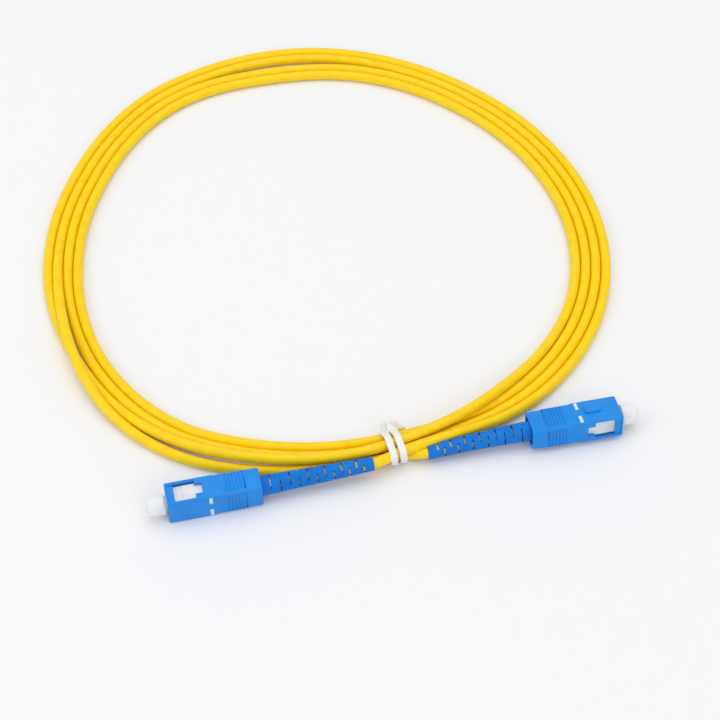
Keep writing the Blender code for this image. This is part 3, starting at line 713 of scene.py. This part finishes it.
def boot_shape(end):
    """The turned outline of a boot with its bore, and its slots in two groups at right angles."""
    tip = PLUGS[end]["boot_tip"]
    straight = [(BOOT_START, 2.45), (BOOT_START + 0.1, BOOT_WIDE), (BOOT_STRAIGHT, BOOT_WIDE)]
    slope = (BOOT_NARROW - BOOT_WIDE) / (tip - TIP_EDGE - BOOT_STRAIGHT)
    taper = [
        (x, BOOT_WIDE + slope * (x - BOOT_STRAIGHT))
        for x in np.linspace(BOOT_STRAIGHT + 0.8, tip - TIP_EDGE, 30)
    ]
    edge = [(tip - 0.15, BOOT_NARROW - 0.06), (tip, BOOT_NARROW - 0.25), (tip, BOOT_BORE + 0.02)]
    bore = [(x, BOOT_BORE) for x in np.linspace(tip - 0.1, BORE_START, 26)]
    bore.append((SLEEVE_END, SLEEVE_BORE))
    slots = ([], [])
    place = SLOT_FIRST
    pitches = [SLOT_PITCH - PITCH_SHORTENS * i for i in range(SLOT_COUNT - 1)]
    stretch = (tip - SLOT_LAST - SLOT_FIRST) / sum(pitches)
    for i in range(SLOT_COUNT):
        back = place + SLOT_WIDTH + SLOT_WIDENS * i
        spin = Matrix.Rotation(math.radians(90 * ((i + 1) % 2)), 3, "X")
        for low, high in ((SLOT_BRIDGE, SLOT_REACH), (-SLOT_REACH, -SLOT_BRIDGE)):
            points, faces = box_shape((place, -SLOT_REACH, low), (back, SLOT_REACH, high))
            slots[i % 2].append(([tuple(spin @ Vector(p)) for p in points], faces))
        place += pitches[min(i, SLOT_COUNT - 2)] * stretch
    outline = ring_shape(circles(straight + taper + edge + bore, BOOT_STEPS), closed=True)
    return outline, [("DIFFERENCE", joined(*group)) for group in slots]


def boot_bender(end):
    """Bends the boot with the cord in it; the plug's own turn is taken off the bend first."""
    plug = PLUGS[end]
    spin = Matrix.Rotation(math.radians(plug["heading"]), 3, "Z")
    back = (spin @ Matrix.Rotation(math.radians(plug["roll"]), 3, "X")).inverted()
    return lambda point: point + back @ Vector(boot_bend(end, point.x))


boot_blue = Finish("boot_blue", (0.0, 0.17, 0.64), Specular_IOR_Level=0.2)
streak = boot_blue.noise(4.0, 2.0)
skin = boot_blue.noise(0.3, 3.0)
boot_blue.mottled(streak, (0.0, 0.155, 0.59), (0.0, 0.185, 0.67))
boot_blue.satin(skin, 0.51, 0.18)
boot_blue.bump(skin + streak * 0.3, 0.02)

for end in PLUGS:
    boot = carved(
        f"{end}_slotted_boot", end, *boot_shape(end), rounding=0, move=boot_bender(end)
    )
    boot_blue.coat(boot)
    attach(boot, "cord")
    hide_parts(f"{end}_boot")


# The dust caps.
# A soft, cloudy polyethylene cylinder with a rounded end. Its narrow hollow stem goes into the
# housing and grips the ferrule; it pulls straight off.
CAP_OUTSIDE = (
    (-5.6, 0.3), (-5.58, 1.0), (-5.48, 1.6), (-5.27, 2.1), (-4.93, 2.52), (-4.5, 2.76), (-4.0, 2.87),
    (-3.4, 2.9), (-0.85, 2.9), (-0.65, 2.84), (-0.6, 2.7), (-0.6, 2.1), (0.5, 2.08), (4.4, 2.04),
    (4.6, 1.9), (4.6, 1.5), (4.5, 1.4), (-3.3, 1.4), (-3.6, 1.15), (-3.65, 0.3),
)

cap_plastic = Finish(
    "cloudy_polyethylene", (0.96, 0.97, 0.97), Transmission_Weight=0.2, IOR=1.3,
    Specular_IOR_Level=0.4,
)
haze = cap_plastic.noise(1.4, 3.0)
cap_plastic.mottled(haze, (0.94, 0.95, 0.95), (0.98, 0.98, 0.98))
cap_plastic.satin(haze, 0.3, 0.2)
cap_plastic.bump(haze, 0.004)

for end in PLUGS:
    cap = carved(f"{end}_cap", end, ring_shape(circles(CAP_OUTSIDE)), [], rounding=0)
    cap_plastic.coat(cap)
    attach(cap, f"{end}_cap")
    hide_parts(f"{end}_dust_cap")


# The tie.
# A flat white vinyl strip with a wire along its middle, wound twice round the gathered strands. Its
# two short ends stick up on the inner side and lean in between the turns.
TIE_AT = 285.2
TIE_WIDE, TIE_THICK, TIE_APART, TIE_CLEAR = 2.0, 0.66, 2.7, 0.04
# Where on the ring the winding starts, its steps in each turn, and where it shifts to the next turn
TIE_START, TIE_STEPS, SHIFT_START, SHIFT_LONG = 155, 72, 150, 120
# An end, in steps: how far inwards and up from the last turn, and which way the strip faces
TIE_END = ((0.4, 0.45, 165), (0.9, 1.1, 185), (1.3, 1.8, 190), (1.5, 2.4, 188))
TIE_TOP = 8.6
FIRST_LEANS, SECOND_LEANS = 0.4, -1.6


def gathered():
    """Radius and height of every strand where the tie goes round them."""
    flat = centre_line[:, :2] - COIL_CENTRE
    angles = np.degrees(np.arctan2(flat[:, 1], flat[:, 0])) % 360
    near = np.abs(angles - TIE_AT) < 1.5
    return np.column_stack((np.hypot(*flat[near].T), centre_line[near, 2]))


def strip_ring(across, height, along, tilt):
    """One cross-section of the strip: thin wings, thicker where the wire is."""
    turn = math.radians(TIE_AT)
    out = Vector((math.cos(turn), math.sin(turn), 0.0))
    forward = Vector((-math.sin(turn), math.cos(turn), 0.0))
    face = out * math.cos(tilt) + Vector((0, 0, 1)) * math.sin(tilt)
    centre = Vector((*COIL_CENTRE, height)) + out * across + forward * along
    ring = []
    for i in range(16):
        step = math.tau * i / 16
        side = math.cos(step)
        thick = 0.5 * TIE_THICK * (0.5 + 0.5 * math.exp(-(side * 2.6) ** 2))
        bulge = abs(math.sin(step)) ** 0.6 * math.copysign(1.0, math.sin(step)) if i % 8 else 0.0
        ring.append(centre + forward * side * TIE_WIDE / 2 + face * thick * bulge)
    return ring


def tie_rings():
    """Round the strands as a belt goes round rollers; the step to the second turn is underneath."""
    reach = CORD / 2 + TIE_CLEAR + TIE_THICK / 2
    start = math.radians(TIE_START)
    strands = gathered()
    belt = []
    for i in range(2 * TIE_STEPS + 1):
        tilt = start - math.tau * i / TIE_STEPS
        r, z = strands[np.argmax(strands @ (math.cos(tilt), math.sin(tilt)))]
        below = (math.degrees(start - tilt) % 360 - SHIFT_START) / SHIFT_LONG
        along = TIE_APART * (eased(below) + i // TIE_STEPS - 1.0) if i < 2 * TIE_STEPS else TIE_APART
        across, height = r + reach * math.cos(tilt), z + reach * math.sin(tilt)
        belt.append((across, max(height, TIE_THICK / 2 + 0.02), along, tilt))
    ends = []
    for base, lean in ((belt[0], FIRST_LEANS), (belt[-1], SECOND_LEANS)):
        ends.append([
            (
                base[0] - inwards, min(base[1] + up, TIE_TOP), base[2] + lean * inwards,
                math.radians(tilt),
            )
            for inwards, up, tilt in TIE_END
        ])
    return [strip_ring(*place) for place in ends[0][::-1] + belt + ends[1]]


tie_vinyl = Finish("tie_vinyl", (0.86, 0.86, 0.85), Specular_IOR_Level=0.5)
crease = tie_vinyl.noise(1.0, 3.0)
tie_vinyl.mottled(crease, (0.82, 0.82, 0.82), (0.88, 0.88, 0.87))
tie_vinyl.satin(crease, 0.4, 0.2)
tie_vinyl.bump(crease, 0.03)

points, faces = ring_shape(tie_rings())
tie = plain_object("wire_tie", ([tuple(Vector(p) * MM) for p in points], faces))
tie.data.shade_smooth()
tie_vinyl.coat(tie)
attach(tie, "cord")
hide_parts("twist_tie")
